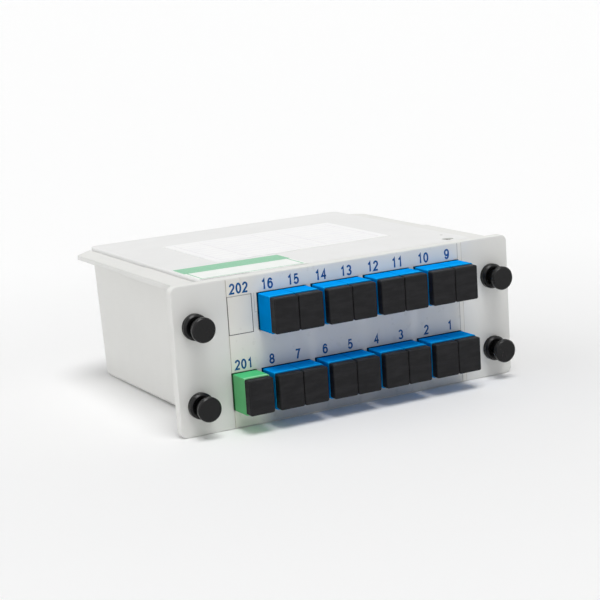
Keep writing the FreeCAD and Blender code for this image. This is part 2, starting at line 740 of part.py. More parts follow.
def make_module():
    """The splitter chip's steel housing, lying in its cradles."""
    module = new_body("splitter_module", "0", "module_y", FLOOR)
    pad(module, "XY_Plane", "0", "module_high",
        lambda sketch: rectangle(sketch, "0", "0", "module_length", "module_width"))
    round_edges(module, along("X"), "module_high / 8")
    return module


def port_places():
    """Every port's place across and up, in numbers."""
    rows = [size("latch_drop") + sign * size("row_rise") / 2 for sign in (-1, 1)]
    pairs = [size("pair_offset") + step * size("pair_pitch") for step in (-1.5, -0.5, 0.5, 1.5)]
    half = size("port_pitch") / 2
    places = [(x + side, row) for row in rows for x in pairs for side in (-half, half)]
    return places + [(pairs[0] - size("input_offset"), rows[0])]


def landing(x):
    """How far back the coil's middle line lies at a place across the tray."""
    over = max(abs(x) - size("coil_span"), 0.0)
    return size("coil_y") - math.sqrt(size("coil_radius") ** 2 - over ** 2)


def fibre(normal, *edges):
    """A six-sided fibre along a path of edges that lies flat across the normal."""
    start = edges[0].valueAt(edges[0].FirstParameter)
    heading = edges[0].tangentAt(edges[0].FirstParameter)
    spoke = normal * size("fibre_radius")
    corners = [start + FreeCAD.Rotation(heading, 60 * i).multVec(spoke) for i in range(6)]
    sweep = Part.BRepOffsetAPI.MakePipeShell(Part.Wire(list(edges)))
    sweep.setBiNormalMode(normal)
    sweep.add(Part.makePolygon(corners + corners[:1]))
    sweep.build()
    sweep.makeSolid()
    return sweep.shape()


def lead(x, row):
    """A fibre from one boot to the coil: straight in from the lower row, down in a bend from the upper."""
    start = size("boot_end")
    lower = row < size("latch_drop")
    spread = size("fibre_spread")
    land = landing(x) + (-spread if lower else spread)
    across = VECTOR(1, 0, 0)
    if lower:
        return fibre(across, Part.makeLine(VECTOR(x, start, row), VECTOR(x, land, row)))
    bend = size("fibre_bend")
    knee = bend * (1 - math.sqrt(0.5))
    turn = VECTOR(x, land - bend, row)
    bottom = VECTOR(x, land, row - bend)
    middle = VECTOR(x, land - knee, row - knee)
    end = VECTOR(x, land, coil_base() + size("coil_high") / 2)
    return fibre(across, Part.makeLine(VECTOR(x, start, row), turn),
                 Part.Arc(turn, middle, bottom).toShape(), Part.makeLine(bottom, end))


def tail(sign):
    """A fibre from one end of the module, round into the coil's back."""
    bend = size("fibre_bend")
    knee = bend * math.sqrt(0.5)
    y = size("module_y")
    z = coil_base() + size("module_high") / 2
    end_x = size("module_length") / 2
    turn = end_x + size("fibre_spread")
    start = VECTOR(sign * end_x, y, z)
    out = VECTOR(sign * turn, y, z)
    middle = VECTOR(sign * (turn + knee), y - bend + knee, z)
    back = VECTOR(sign * (turn + bend), y - bend, z)
    over = turn + bend - size("coil_span")
    inside = VECTOR(sign * (turn + bend), size("coil_y") + math.sqrt(size("coil_radius") ** 2 - over ** 2), z)
    return fibre(VECTOR(0, 0, 1), Part.makeLine(start, out), Part.Arc(out, middle, back).toShape(),
                 Part.makeLine(back, inside))


def coil_base():
    """The height of the tray's floor inside."""
    return size("latch_drop") - size("panel_height") / 2 + size("tray_lift") + size("floor_thick")


def stadium(radius):
    """A prism over two half circles and the straights between them, where the coil lies."""
    span, y, z, high = size("coil_span"), size("coil_y"), coil_base(), size("coil_high")
    ends = [Part.makeCylinder(radius, high, VECTOR(sign * span, y, z)) for sign in (-1, 1)]
    straight = Part.makeBox(2 * span, 2 * radius, high, VECTOR(-span, y - radius, z))
    return straight.fuse(ends).removeSplitter()


def make_harness(ports):
    """All the fibres as one bundle: the leads, the coil round the hubs and the module's tails."""
    half_band = size("coil_band") / 2
    coil = stadium(size("coil_radius") + half_band).cut(stadium(size("coil_radius") - half_band))
    fibres = [lead(x, row) for x, row in ports] + [tail(-1), tail(1)]
    harness = DOC.addObject("Part::Feature", "fibre_harness")
    harness.Shape = coil.fuse(fibres).removeSplitter()
    return harness


def build_model():
    """Every sub-part, in the order of assembly."""
    parts = [make_tray(), make_cover(), make_screws(), make_face_label()]
    parts.append(make_lid_label("table_label", "table_x", "table_y", "table_width", "table_deep"))
    parts.append(make_lid_label("seal_label", "seal_x", "seal_y", "seal_width", "seal_deep", "seal_turn"))
    ports = []
    for row, first in (("upper", 16), ("lower", 8)):
        for column, x in enumerate(PAIRS):
            high = first - 2 * column
            parts.append(make_adapter(f"output_adapter_{high - 1}_{high}", x, ROWS[row], PORT_SIDES))
            parts.append(make_plugs(f"inner_plugs_{high - 1}_{high}", x, ROWS[row], PORT_SIDES))
            for number, port in zip((high, high - 1), PORT_SIDES):
                ports.append((f"({x} + {port})", ROWS[row]))
                parts.append(make_cap(f"dust_cap_{number}", f"{x} + {port}", ROWS[row]))
    parts.append(make_adapter("input_adapter", INPUT_X, ROWS["lower"], ("0",)))
    parts.append(make_plugs("input_plug", INPUT_X, ROWS["lower"], ("0",)))
    parts.append(make_cap("input_dust_cap", INPUT_X, ROWS["lower"]))
    ports.append((INPUT_X, ROWS["lower"]))
    parts.append(make_holders(ports))
    parts.append(make_sleeves(ports))
    parts.append(make_harness(port_places()))
    for side, x_sign in SIDES.items():
        for level, z_sign in LEVELS.items():
            x, z = f"{x_sign} * latch_span / 2", f"{z_sign} * latch_rise / 2"
            parts.append(make_grommet(f"latch_grommet_{side}_{level}", x, z))
            parts.append(make_plunger(f"latch_plunger_{side}_{level}", x, z))
    parts.append(make_module())
    return parts


def check_and_write(parts):
    """Stops on a failed feature or a bad shape, then writes one STEP file for each sub-part."""
    DOC.recompute()
    failed = [thing.Label for thing in DOC.Objects if {"Invalid", "Error"} & set(thing.State)]
    if failed:
        raise RuntimeError(f"failed features: {failed}")
    for part in parts:
        if part.Shape.isNull() or not part.Shape.isValid():
            raise RuntimeError(f"{part.Label} has a bad shape")
    os.makedirs("parts", exist_ok=True)
    for part in parts:
        part.Shape.exportStep(f"parts/{part.Label}.step")
    print(len(parts), "sub-parts written")


check_and_write(build_model())
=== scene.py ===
import math

import bmesh
import bpy
from mathutils import Matrix, Vector


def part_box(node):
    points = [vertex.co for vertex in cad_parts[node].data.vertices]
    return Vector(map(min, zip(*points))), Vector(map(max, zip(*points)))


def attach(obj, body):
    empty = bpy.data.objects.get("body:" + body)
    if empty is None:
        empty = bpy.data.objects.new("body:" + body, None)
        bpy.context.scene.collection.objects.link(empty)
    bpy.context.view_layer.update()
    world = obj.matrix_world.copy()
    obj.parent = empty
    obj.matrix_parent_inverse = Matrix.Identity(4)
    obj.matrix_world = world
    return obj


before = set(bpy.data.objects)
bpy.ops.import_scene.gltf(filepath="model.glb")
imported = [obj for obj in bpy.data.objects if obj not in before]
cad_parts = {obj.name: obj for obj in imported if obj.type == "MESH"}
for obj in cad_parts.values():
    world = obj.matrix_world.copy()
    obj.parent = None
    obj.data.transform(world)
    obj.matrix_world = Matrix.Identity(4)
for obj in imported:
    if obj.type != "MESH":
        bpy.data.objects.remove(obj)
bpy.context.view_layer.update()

MM = 0.001
BODY = "cassette"
BEVEL_SAMPLES = 6
MIX_COLOURS = (6, 7)
MIX_RESULT = 2


# ---- materials: small helpers -------------------------------------------------------------

class Recipe:
    """A Principled material under construction, with short calls for the nodes that it needs."""

    def __init__(self, name):
        self.material = bpy.data.materials.new(name)
        self.material.use_nodes = True
        self.tree = self.material.node_tree
        self.shader = self.tree.nodes["Principled BSDF"]
        self.place = self.tree.nodes.new("ShaderNodeTexCoord").outputs["Object"]
        self.normal = None

    def link(self, source, target):
        """Joins an output socket to an input socket."""
        self.tree.links.new(source, target)

    def settings(self, **values):
        """Constants on the shader's own sockets, named with underscores for spaces."""
        for name, value in values.items():
            self.shader.inputs[name.replace("_", " ")].default_value = value

    def stretched(self, scale):
        """Object coordinates, multiplied along each axis."""
        mapping = self.tree.nodes.new("ShaderNodeMapping")
        mapping.inputs["Scale"].default_value = scale
        self.link(self.place, mapping.inputs["Vector"])
        return mapping.outputs["Vector"]

    def noise(self, size, detail=3.0, roughness=0.5, stretch=(1, 1, 1)):
        """Noise whose features are about size metres across."""
        noise = self.tree.nodes.new("ShaderNodeTexNoise")
        noise.inputs["Scale"].default_value = 1.0 / size
        noise.inputs["Detail"].default_value = detail
        noise.inputs["Roughness"].default_value = roughness
        self.link(self.stretched(stretch), noise.inputs["Vector"])
        return noise.outputs["Fac"]

    def spread(self, value, low, high, to_low=0.0, to_high=1.0):
        """Maps a value from one range to another, held at the ends."""
        ranges = self.tree.nodes.new("ShaderNodeMapRange")
        limits = {"From Min": low, "From Max": high, "To Min": to_low, "To Max": to_high}
        for socket, number in limits.items():
            ranges.inputs[socket].default_value = number
        self.link(value, ranges.inputs["Value"])
        return ranges.outputs["Result"]

    def mix(self, factor, first, second):
        """A colour between two others; each is a colour or a socket."""
        mix = self.tree.nodes.new("ShaderNodeMix")
        mix.data_type = "RGBA"
        self.link(factor, mix.inputs["Factor"])
        for index, colour in zip(MIX_COLOURS, (first, second)):
            if isinstance(colour, tuple):
                mix.inputs[index].default_value = (*colour, 1.0)
            else:
                self.link(colour, mix.inputs[index])
        return mix.outputs[MIX_RESULT]

    def math(self, operation, first, second=0.0):
        """One arithmetic step on sockets or numbers."""
        step = self.tree.nodes.new("ShaderNodeMath")
        step.operation = operation
        for socket, value in zip(step.inputs, (first, second)):
            if isinstance(value, (int, float)):
                socket.default_value = value
            else:
                self.link(value, socket)
        return step.outputs["Value"]

    def part_of(self, vector, letter):
        """A vector's part along one axis."""
        split = self.tree.nodes.new("ShaderNodeSeparateXYZ")
        self.link(vector, split.inputs["Vector"])
        return split.outputs[letter]

    def axis(self, letter):
        """One object coordinate, in metres."""
        return self.part_of(self.place, letter)

    def vectors(self, operation, first, second=None):
        """One step on a vector socket and a second vector, which is a socket, a fixed place or left out."""
        step = self.tree.nodes.new("ShaderNodeVectorMath")
        step.operation = operation
        self.link(first, step.inputs[0])
        if isinstance(second, tuple):
            step.inputs[1].default_value = second
        elif second is not None:
            self.link(second, step.inputs[1])
        return step.outputs["Value"]

    def face(self):
        """The way a face looks, without any relief."""
        return self.tree.nodes.new("ShaderNodeNewGeometry").outputs["Normal"]

    def bevel(self, radius):
        """The way a face looks, turned near its edges as if they were rounded."""
        bevel = self.tree.nodes.new("ShaderNodeBevel")
        bevel.samples = BEVEL_SAMPLES
        bevel.inputs["Radius"].default_value = radius
        return bevel.outputs["Normal"]

    def edges(self, radius):
        """Close to one along sharp edges and zero on flats."""
        match = self.vectors("DOT_PRODUCT", self.bevel(radius), self.face())
        return self.spread(match, 0.88, 0.995, 1.0, 0.0)

    def near(self, place, radius):
        """One within a radius of a place, falling to zero just outside."""
        distance = self.vectors("DISTANCE", self.place, place)
        return self.spread(distance, 0.7 * radius, 1.1 * radius, 1.0, 0.0)

    def facing_up(self):
        """One on faces that look up, zero on upright ones."""
        return self.spread(self.part_of(self.face(), "Z"), 0.3, 0.9)

    def bump(self, height, depth):
        """Adds relief of about depth metres."""
        bump = self.tree.nodes.new("ShaderNodeBump")
        bump.inputs["Distance"].default_value = depth
        self.link(height, bump.inputs["Height"])
        if self.normal is not None:
            self.link(self.normal, bump.inputs["Normal"])
        self.normal = bump.outputs["Normal"]

    def soften(self, radius):
        """Rounds the shading over sharp edges."""
        self.normal = self.bevel(radius)

    def finish(self, colour, roughness):
        """Joins colour, roughness and relief to the shader."""
        self.link(colour, self.shader.inputs["Base Color"])
        self.link(roughness, self.shader.inputs["Roughness"])
        if self.normal is not None:
            self.link(self.normal, self.shader.inputs["Normal"])
        return self.material


def rgb(red, green, blue):
    """A screen colour from 0 to 255 as the linear values that nodes use."""
    return tuple(
        (c / 12.92 if c <= 0.04045 else ((c + 0.055) / 1.055) ** 2.4)
        for c in (red / 255, green / 255, blue / 255))


def scaled(colour, factor):
    """A colour made darker or lighter, held at white."""
    return tuple(min(1.0, c * factor) for c in colour)


def moulded(name, colour, rough, relief=0.004 * MM, cloud=0.04, **settings):
    """Moulded plastic: slow shifts of tone, a fine matt grain and softened edges."""
    recipe = Recipe(name)
    recipe.settings(**settings)
    recipe.soften(0.25 * MM)
    clouds = recipe.spread(recipe.noise(26 * MM, 4.0), 0.3, 0.7)
    tone = recipe.mix(clouds, scaled(colour, 1 - cloud), scaled(colour, 1 + cloud))
    recipe.bump(recipe.noise(0.35 * MM, 2.0), relief)
    smears = recipe.noise(6 * MM, 5.0, 0.6)
    return recipe.finish(tone, recipe.spread(smears, 0.3, 0.7, *rough))


# ---- materials: one for each finish -------------------------------------------------------

def case_plastic(name, colour, gate=None):
    """Light grey ABS with a satin grain, faint sink marks and a few dusty specks."""
    recipe = Recipe(name)
    recipe.settings(Specular_IOR_Level=0.4)
    clouds = recipe.spread(recipe.noise(30 * MM, 4.0), 0.3, 0.7)
    tone = recipe.mix(clouds, scaled(colour, 0.98), scaled(colour, 1.015))
    specks = recipe.spread(recipe.noise(1.4 * MM, 2.0, 0.7), 0.74, 0.79)
    tone = recipe.mix(specks, tone, scaled(colour, 0.88))
    if gate is not None:
        mark = recipe.math("MULTIPLY", recipe.near(gate, GATE_RADIUS), 0.7)
        tone = recipe.mix(mark, tone, rgb(150, 150, 146))
    recipe.soften(0.5 * MM)
    recipe.bump(recipe.noise(9 * MM, 2.0), 0.03 * MM)
    recipe.bump(recipe.noise(0.3 * MM, 2.0), 0.004 * MM)
    return recipe.finish(tone, recipe.spread(recipe.noise(7 * MM, 5.0), 0.3, 0.7, 0.42, 0.56))


def face_film():
    """The front overlay: a satin film with painted shade round and below the adapters, a painted shadow
    line along its side edges, and a clear strip at its right end.
    """
    recipe = Recipe("face_film")
    recipe.settings(Specular_IOR_Level=0.5)
    clouds = recipe.spread(recipe.noise(18 * MM, 3.0), 0.3, 0.7)
    tone = recipe.mix(clouds, scaled(FILM_GREY, 0.97), scaled(FILM_GREY, 1.02))
    across, up = recipe.axis("X"), recipe.axis("Z")
    # Painted shade: the film is darker and bluer round and below the adapter rows, and darker still at its
    # foot.
    starts, ends = recipe.spread(across, *SHADE_START), recipe.spread(across, *SHADE_END, 1.0, 0.2)
    shaded = recipe.math("MULTIPLY", starts, ends)
    shaded = recipe.math("MULTIPLY", shaded, recipe.spread(up, *SHADE_TOP, 1.0, 0.0))
    shade_tone = recipe.mix(recipe.spread(up, *SHADE_FOOT), FOOT_SHADE_GREY, FILM_SHADE_GREY)
    tone = recipe.mix(recipe.math("MULTIPLY", shaded, 0.85), tone, shade_tone)
    clear = recipe.spread(across, PRINT_END, PRINT_END + 0.05 * MM)
    tone = recipe.mix(clear, tone, FILM_GREY)
    from_end = recipe.math("ABSOLUTE", recipe.math("SUBTRACT", across, PRINT_END))
    tone = recipe.mix(recipe.spread(from_end, *LINE_FADE, 0.55, 0.0), tone, rgb(120, 118, 116))
    # Painted shade: a thin darker line along the film's left and right edges.
    edge_shade = recipe.spread(recipe.math("ABSOLUTE", across), *FILM_EDGE, 0.0, 0.6)
    tone = recipe.mix(edge_shade, tone, rgb(150, 142, 128))
    recipe.bump(recipe.noise(4 * MM, 2.0), 0.006 * MM)
    recipe.bump(recipe.noise(0.12 * MM, 2.0), 0.0015 * MM)
    return recipe.finish(tone, recipe.spread(recipe.noise(3 * MM, 4.0), 0.3, 0.7, 0.26, 0.34))


def paper(name, colour, tint):
    """Coated label paper, faintly mottled."""
    recipe = Recipe(name)
    recipe.settings(Specular_IOR_Level=0.35)
    tone = recipe.mix(recipe.spread(recipe.noise(5 * MM, 5.0, 0.6), 0.35, 0.65), colour, tint)
    recipe.bump(recipe.noise(0.2 * MM, 3.0), 0.002 * MM)
    return recipe.finish(tone, recipe.spread(recipe.noise(2 * MM, 3.0), 0.3, 0.7, 0.45, 0.6))


def ink(name, colour):
    """Screen-printed ink, slightly uneven."""
    recipe = Recipe(name)
    recipe.settings(Specular_IOR_Level=0.25)
    patches = recipe.spread(recipe.noise(0.8 * MM, 4.0, 0.7), 0.35, 0.7)
    tone = recipe.mix(patches, colour, scaled(colour, 1 + INK_PATCHES))
    return recipe.finish(tone, recipe.spread(recipe.noise(0.5 * MM), 0.3, 0.7, 0.4, 0.55))


def adapter_plastic(name, colour, top, highlight):
    """Dyed adapter plastic: a painted lit top in patches with a painted highlight along its front, painted
    highlights on the edges, a weld seam between ports and painted shade at the root.
    """
    recipe = Recipe(name)
    recipe.settings(Specular_IOR_Level=0.0)
    clouds = recipe.spread(recipe.noise(8 * MM, 4.0, 0.6), 0.3, 0.7)
    tone = recipe.mix(clouds, scaled(colour, 0.9), scaled(colour, 1.08))
    # Painted light: faces that look up take the top colour in patches, with a painted highlight along the
    # front of the top.
    top_patches = recipe.spread(recipe.noise(3 * MM, 4.0, 0.6, (0.4, 1.0, 1.0)), 0.35, 0.65)
    lit_top = recipe.mix(top_patches, scaled(top, 0.84), top)
    deep = recipe.axis("Y")
    lit_top = recipe.mix(recipe.spread(deep, *FRONT_HIGHLIGHT, 0.5, 0.0), lit_top, highlight)
    tone = recipe.mix(recipe.facing_up(), tone, lit_top)
    # Painted highlight: sharp edges are lightened towards the highlight colour.
    tone = recipe.mix(recipe.math("MULTIPLY", recipe.edges(0.3 * MM), 0.5), tone, highlight)
    across = recipe.math("PINGPONG", recipe.math("SUBTRACT", recipe.axis("X"), SEAM_X), SEAM_PITCH / 2)
    tone = recipe.mix(recipe.spread(across, *SEAM_FADE, 0.55, 0.0), tone, scaled(colour, 0.25))
    # Painted shade: a dark band round each adapter where it meets the face film.
    tone = recipe.mix(recipe.spread(deep, *ROOT_SHADE, 0.0, 0.9), tone, scaled(colour, 0.06))
    recipe.soften(0.22 * MM)
    recipe.bump(recipe.noise(5 * MM, 3.0), 0.02 * MM)
    recipe.bump(recipe.noise(0.25 * MM, 2.0), 0.003 * MM)
    return recipe.finish(tone, recipe.spread(recipe.noise(4 * MM, 4.0), 0.3, 0.7, 0.28, 0.4))


def cap_rubber():
    """Soft black dust caps: matt, with fine sideways wiping marks and a little pale dust."""
    recipe = Recipe("cap_rubber")
    recipe.settings(Specular_IOR_Level=0.16)
    black = rgb(26, 26, 28)
    wipes = recipe.noise(7 * MM, 6.0, 0.65, (1.0, 1.0, 3.5))
    tone = recipe.mix(recipe.spread(wipes, 0.42, 0.66), black, rgb(35, 35, 37))
    dust = recipe.spread(recipe.noise(0.35 * MM, 3.0, 0.6), 0.68, 0.76)
    tone = recipe.mix(recipe.math("MULTIPLY", dust, 0.3), tone, rgb(90, 88, 84))
    # Painted highlight: sharp edges are lightened.
    tone = recipe.mix(recipe.math("MULTIPLY", recipe.edges(0.25 * MM), 0.35), tone, rgb(62, 62, 64))
    recipe.soften(0.2 * MM)
    recipe.bump(recipe.noise(3 * MM, 5.0, 0.6, (1.0, 1.0, 2.5)), 0.03 * MM)
    recipe.bump(recipe.noise(0.16 * MM, 2.0), 0.006 * MM)
    return recipe.finish(tone, recipe.spread(wipes, 0.35, 0.7, 0.55, 0.42))


def metal(name, colour, rough, stretch):
    """Plated or drawn metal with a directional grain."""
    recipe = Recipe(name)
    recipe.settings(Metallic=1.0)
    recipe.soften(0.1 * MM)
    grain = recipe.noise(0.5 * MM, 4.0, 0.6, stretch)
    tone = recipe.mix(recipe.spread(grain, 0.3, 0.7), scaled(colour, 0.85), colour)
    recipe.bump(grain, 0.002 * MM)
    return recipe.finish(tone, recipe.spread(grain, 0.3, 0.7, rough - 0.06, rough + 0.08))


FILM_GREY = rgb(233, 231, 224)
# Painted shade on the film round the adapters and, darker, at the film's foot.
FILM_SHADE_GREY = rgb(214, 216, 217)
FOOT_SHADE_GREY = rgb(172, 176, 180)
# Where the film's painted shade lies: across, up to its top, and the blend to the foot.
SHADE_START = (-37 * MM, -30 * MM)
SHADE_END = (20 * MM, 42 * MM)
SHADE_TOP = (8 * MM, 16 * MM)
SHADE_FOOT = (-19 * MM, -15 * MM)
PRINT_END = 43.9 * MM
LINE_FADE = (0.1 * MM, 0.16 * MM)
FILM_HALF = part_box("face_label")[1].x
FILM_EDGE = (FILM_HALF - 0.15 * MM, FILM_HALF - 0.1 * MM)
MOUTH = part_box("input_adapter")[0].y
# Painted highlight along the front of the adapters' tops.
FRONT_HIGHLIGHT = (MOUTH + 0.7 * MM, MOUTH + 1.3 * MM)
SEAM_X = -25.475 * MM
SEAM_PITCH = 20.15 * MM
SEAM_FADE = (0.1 * MM, 0.2 * MM)
ROOT_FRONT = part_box("face_label")[0].y - 0.8 * MM
# Where the painted shade at the adapters' root lies.
ROOT_SHADE = (ROOT_FRONT - 0.15 * MM, ROOT_FRONT + 0.05 * MM)
INK_PATCHES = 0.12
GATE_MARK = (48.8 * MM, 13.8 * MM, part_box("top_cover")[1].z)
GATE_RADIUS = 0.6 * MM
MATERIALS = {
    "case": case_plastic("case_plastic", rgb(229, 229, 226)),
    "cover": case_plastic("cover_plastic", rgb(233, 233, 232), GATE_MARK),
    "film": face_film(),
    "table": paper("table_paper", rgb(249, 249, 248), rgb(245, 245, 246)),
    "seal": paper("seal_paper", rgb(246, 248, 245), rgb(240, 244, 240)),
    "seal_green": ink("seal_green", rgb(136, 194, 160)),
    "faint_ink": ink("faint_ink", rgb(226, 222, 226)),
    "blue_ink": ink("number_ink", rgb(0, 80, 140)),
    # The dark line ink also paints the shadow under the seal's front edge.
    "line_ink_and_painted_shadow": ink("line_ink_and_painted_shadow", rgb(96, 94, 94)),
    "pale_line": ink("pale_line", rgb(172, 172, 168)),
    # Each adapter's second colour is painted light on its top and its third a painted highlight.
    "blue": adapter_plastic("adapter_blue", rgb(0, 131, 206), rgb(8, 163, 255), rgb(40, 192, 255)),
    "green": adapter_plastic("adapter_green", rgb(128, 226, 152), rgb(86, 202, 132), rgb(190, 246, 205)),
    "cap": cap_rubber(),
    "latch": moulded("latch_black", rgb(14, 14, 15), (0.24, 0.34), cloud=0.1, Specular_IOR_Level=0.26),
    "screw": metal("screw_steel", rgb(190, 188, 182), 0.32, (1, 1, 1)),
    # Painted shade: the dark colour that stands for the screws' cross recesses.
    "recess": moulded("screw_recess_shade", rgb(60, 58, 56), (0.5, 0.6)),
    "steel": metal("module_steel", rgb(196, 198, 200), 0.28, (0.1, 6, 6)),
    "ceramic": moulded("sleeve_ceramic", rgb(238, 236, 228), (0.15, 0.22), cloud=0.01, relief=0.001 * MM),
    "holder": moulded("holder_white", rgb(224, 224, 220), (0.35, 0.5), cloud=0.02),
    "plug_blue": moulded("plug_blue", rgb(10, 110, 190), (0.35, 0.5)),
    "plug_green": moulded("plug_green", rgb(70, 170, 95), (0.35, 0.5)),
    "fibre": moulded("fibre_jacket", rgb(236, 236, 230), (0.35, 0.5), cloud=0.02),
}

NODE_LOOKS = (
    ("housing_tray", "case"), ("top_cover", "cover"), ("cover_screws", "screw"),
    ("face_label", "film"), ("table_label", "table"), ("seal_label", "seal"),
    ("output_adapter", "blue"), ("input_adapter", "green"),
    ("inner_plugs", "plug_blue"), ("input_plug", "plug_green"),
    ("alignment_sleeves", "ceramic"), ("sleeve_holders", "holder"),
    ("dust_cap", "cap"), ("input_dust_cap", "cap"), ("latch_", "latch"),
    ("splitter_module", "steel"), ("fibre", "fibre"))


def dress_nodes():
    """Gives every node its finish."""
    for name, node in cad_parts.items():
        look = next(look for start, look in NODE_LOOKS if name.startswith(start))
        node.data.materials.clear()
        node.data.materials.append(MATERIALS[look])


# ---- pieces that lie on the nodes ---------------------------------------------------------

def add_piece(name, mesh, look, body=BODY):
    """Makes an object of a mesh and lets it ride on a body."""
    piece = bpy.data.objects.new(name, mesh)
    bpy.context.scene.collection.objects.link(piece)
    mesh.materials.append(MATERIALS[look])
    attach(piece, body)


def boxes_mesh(name, boxes):
    """One mesh of separate boxes, each given by its lowest and highest corner."""
    mesh = bpy.data.meshes.new(name)
    shape = bmesh.new()
    for low, high in boxes:
        low, high = Vector(low), Vector(high)
        place = Matrix.LocRotScale((low + high) / 2, None, high - low)
        bmesh.ops.create_cube(shape, size=1.0, matrix=place)
    shape.to_mesh(mesh)
    shape.free()
    return mesh


def turned(points):
    """A stroke turned half round in the unit box."""
    return [(1 - x, 1 - y) for x, y in points]


def arc(x, y, wide, high, start, end):
    """Points along an ellipse between two angles in degrees."""
    steps = max(3, round(abs(end - start) / 15))
    angles = [math.radians(start + (end - start) * step / steps) for step in range(steps + 1)]
    return [(x + wide * math.cos(angle), y + high * math.sin(angle)) for angle in angles]


SIX = [arc(0.5, 0.5, 0.5, 0.5, 35, 180) + [(0.0, 0.32)], arc(0.5, 0.32, 0.5, 0.32, 0, 360)]
DIGITS = {
    "0": [arc(0.5, 0.5, 0.5, 0.5, 0, 360)],
    "1": [[(0.14, 0.77), (0.42, 0.86), (0.62, 1.0), (0.62, -0.07)]],
    "2": [arc(0.5, 0.72, 0.47, 0.28, 175, -35) + [(0.0, 0.0), (1.05, 0.0)]],
    "3": [arc(0.47, 0.745, 0.43, 0.255, 160, -90), arc(0.48, 0.245, 0.5, 0.245, 90, -160)],
    "4": [[(0.72, -0.07), (0.72, 1.0), (-0.03, 0.3), (1.08, 0.3)]],
    "5": [[(0.95, 1.0), (0.22, 1.0), (0.08, 0.5)] + arc(0.48, 0.32, 0.5, 0.32, 130, -160)],
    "6": SIX,
    "7": [[(-0.02, 1.0), (1.0, 1.0), (0.62, 0.55), (0.36, -0.07)]],
    "8": [arc(0.5, 0.75, 0.43, 0.25, 0, 360), arc(0.5, 0.26, 0.5, 0.26, 0, 360)],
    "9": [turned(stroke) for stroke in SIX],
}
FACE_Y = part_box("face_label")[0].y
INK_THICK = 0.012 * MM
INK_STEP = 0.002 * MM
SHELL_HIGH = 12.4 * MM
NUMBER_HEIGHT = {"upper": 3.6 * MM, "lower": 3.45 * MM}
NUMBER_GAP = {"upper": 0.8 * MM, "lower": 0.9 * MM}
NUMBER_SHIFT = -0.35 * MM
NUMBER_SPREAD = 4.85 * MM
DIGIT_WIDE = 0.58
DIGIT_ADVANCE = 0.66
STROKE_WIDE = 0.175


def sides(points, width):
    """The two edges of a flat stroke of a width along a line of points."""
    closed = math.dist(points[0], points[-1]) < 1e-9
    if closed:
        points = points[:-1]
    count = len(points)
    left, right = [], []
    for index, point in enumerate(points):
        before = points[index - 1] if closed or index else None
        after = points[(index + 1) % count] if closed or index < count - 1 else None
        joins = [pair for pair in ((before, point), (point, after)) if all(pair)]
        ways = [(Vector(b) - Vector(a)).normalized() for a, b in joins]
        way = sum(ways, Vector((0, 0))).normalized()
        reach = width / 2 / max(0.45, way.dot(ways[0]))
        out = Vector((-way.y, way.x)) * reach
        left.append(Vector(point) + out)
        right.append(Vector(point) - out)
    return left, right, closed


def add_stroke(shape, points, width, front):
    """A thin raised line of ink on the face label, through points given as x and z."""
    left, right, closed = sides(points, width)
    rings = []
    for one, other in zip(left, right):
        corners = ((one, front), (other, front), (other, FACE_Y), (one, FACE_Y))
        rings.append([shape.verts.new((flat.x, deep, flat.y)) for flat, deep in corners])
    pairs = list(zip(rings, rings[1:] + rings[:1])) if closed else list(zip(rings, rings[1:]))
    for first, second in pairs:
        for side in range(4):
            beside = (side + 1) % 4
            shape.faces.new((first[side], first[beside], second[beside], second[side]))
    if not closed:
        shape.faces.new(rings[0][::-1])
        shape.faces.new(rings[-1])


def add_number(text, x, foot, height):
    """A port's printed number, centred at x with its foot at a height."""
    name = "number_" + text
    stroke = STROKE_WIDE * height
    wide, high = DIGIT_WIDE * height - stroke, height - stroke
    shape = bmesh.new()
    strokes = [(place, points) for place, digit in enumerate(text) for points in DIGITS[digit]]
    for layer, (place, points) in enumerate(strokes):
        left = x + (place - len(text) / 2 + 0.5) * DIGIT_ADVANCE * height - wide / 2
        placed = [(left + a * wide, foot + stroke / 2 + b * high) for a, b in points]
        add_stroke(shape, placed, stroke, FACE_Y - INK_THICK - layer * INK_STEP)
    bmesh.ops.recalc_face_normals(shape, faces=shape.faces)
    mesh = bpy.data.meshes.new(name)
    shape.to_mesh(mesh)
    shape.free()
    add_piece(name, mesh, "blue_ink")


def number_foot(cap, row):
    """The foot of a number above a cap's adapter."""
    low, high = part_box(cap)
    return (low.z + high.z) / 2 + SHELL_HIGH / 2 + NUMBER_GAP[row]


def add_numbers():
    """Numbers over every port: 16 to 9 above, 8 to 1 below, and 202 and 201 at the left."""
    for row, first in (("upper", 16), ("lower", 8)):
        for high in range(first, first - 8, -2):
            low_corner, high_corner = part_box(f"output_adapter_{high - 1}_{high}")
            middle = (low_corner.x + high_corner.x) / 2 + NUMBER_SHIFT
            foot = number_foot(f"dust_cap_{high}", row)
            add_number(str(high), middle - NUMBER_SPREAD, foot, NUMBER_HEIGHT[row])
            add_number(str(high - 1), middle + NUMBER_SPREAD, foot, NUMBER_HEIGHT[row])
    low_corner, high_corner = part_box("input_dust_cap")
    x = (low_corner.x + high_corner.x) / 2
    for text, cap, row in (("202", "dust_cap_16", "upper"), ("201", "input_dust_cap", "lower")):
        add_number(text, x, number_foot(cap, row), NUMBER_HEIGHT[row])


BLANK = (9.1 * MM, 12.9 * MM)
BLANK_LINE = 0.3 * MM
BLANK_DEEP = 0.12 * MM
MARK_GAP = 0.75 * MM
MARK_LINE = 0.14 * MM
MARK_DASH = 1.1 * MM


